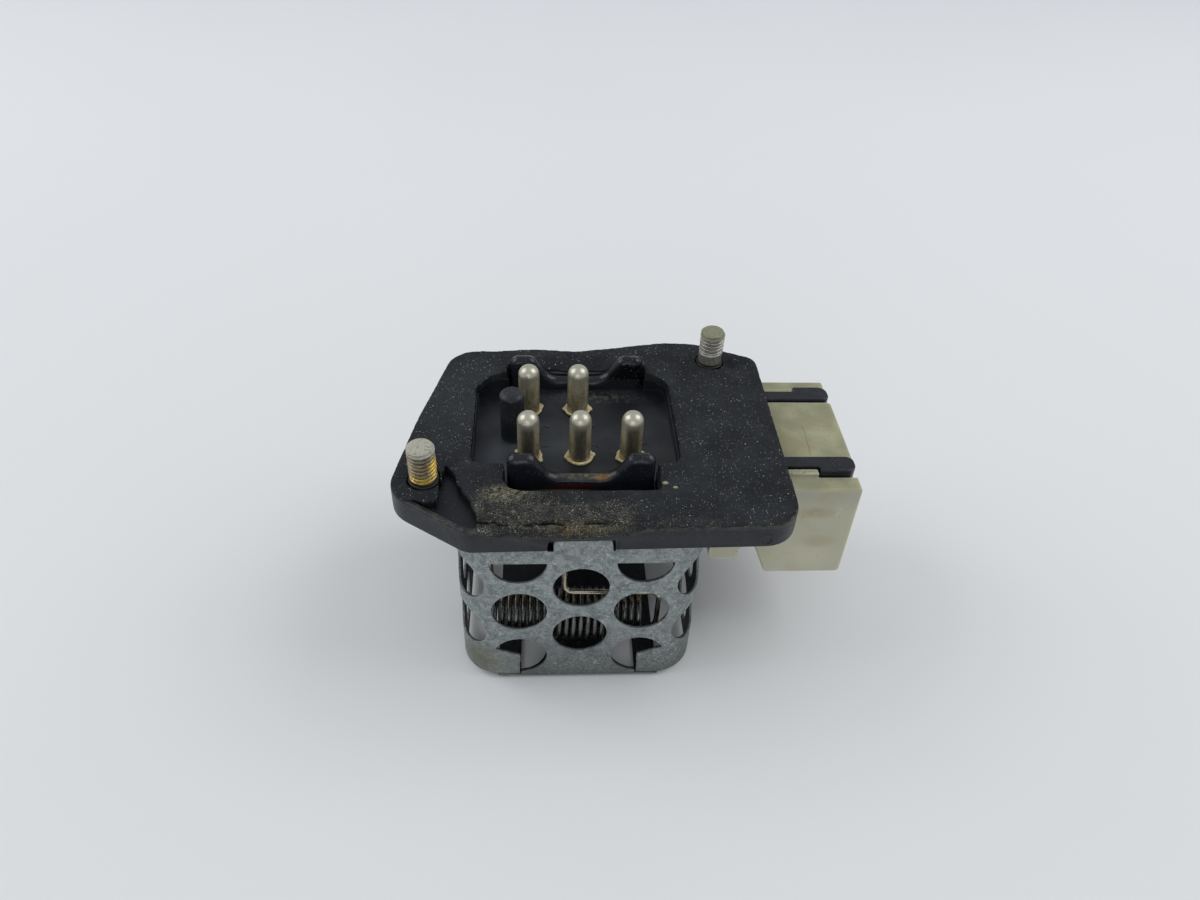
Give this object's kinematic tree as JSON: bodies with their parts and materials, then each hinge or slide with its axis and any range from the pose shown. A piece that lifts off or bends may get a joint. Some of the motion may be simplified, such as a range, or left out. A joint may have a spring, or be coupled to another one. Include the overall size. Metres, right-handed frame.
{
  "type": "blower motor resistor",
  "caption": "Flanged plug-in resistor unit: socket plate with round contact pins, gasket, diagonal studs, perforated sheet cage round wound wires, and a side connector housing.",
  "frame": {"origin": "midway between the two mounting studs, on the sealing face of the gasket", "axes": "+Z out of the socket along the studs and pins, +X toward the side connector, +Y toward the back edge"},
  "size_m": [0.0834, 0.0542, 0.0498],
  "materials": {
    "black_plastic": "glass-filled moulded plastic with a dull sheen",
    "foam_gasket": "closed-cell foam, dusty and torn on one side",
    "zinc_sheet": "zinc-plated sheet with dull grey and white bloom",
    "yellow_zinc": "yellow-passivated steel thread, worn",
    "grey_zinc": "grey zinc-plated steel thread with slight rust",
    "tinned_pin": "tinned contact pin, tarnished yellow-brown",
    "collar_brass": "thin pale brass collar",
    "natural_nylon": "natural nylon, slightly translucent and stained",
    "blade_brass": "brass blade terminal",
    "resistance_wire": "resistance wire, dark from heat"
  },
  "bodies": {
    "root": {"base_plate": "black_plastic", "gasket": "foam_gasket", "cage": "zinc_sheet", "stud_left": "yellow_zinc", "stud_right": "grey_zinc", "contact_pin_1": "tinned_pin", "contact_pin_2": "tinned_pin", "contact_pin_3": "tinned_pin", "contact_pin_4": "tinned_pin", "contact_pin_5": "tinned_pin", "pin_collar_1": "collar_brass", "pin_collar_2": "collar_brass", "pin_collar_3": "collar_brass", "pin_collar_4": "collar_brass", "pin_collar_5": "collar_brass", "connector_housing": "natural_nylon", "connector_blade_1": "blade_brass", "connector_blade_2": "blade_brass", "coil_front": "resistance_wire", "coil_middle": "resistance_wire", "coil_rear": "resistance_wire"}
  },
  "joints": []
}
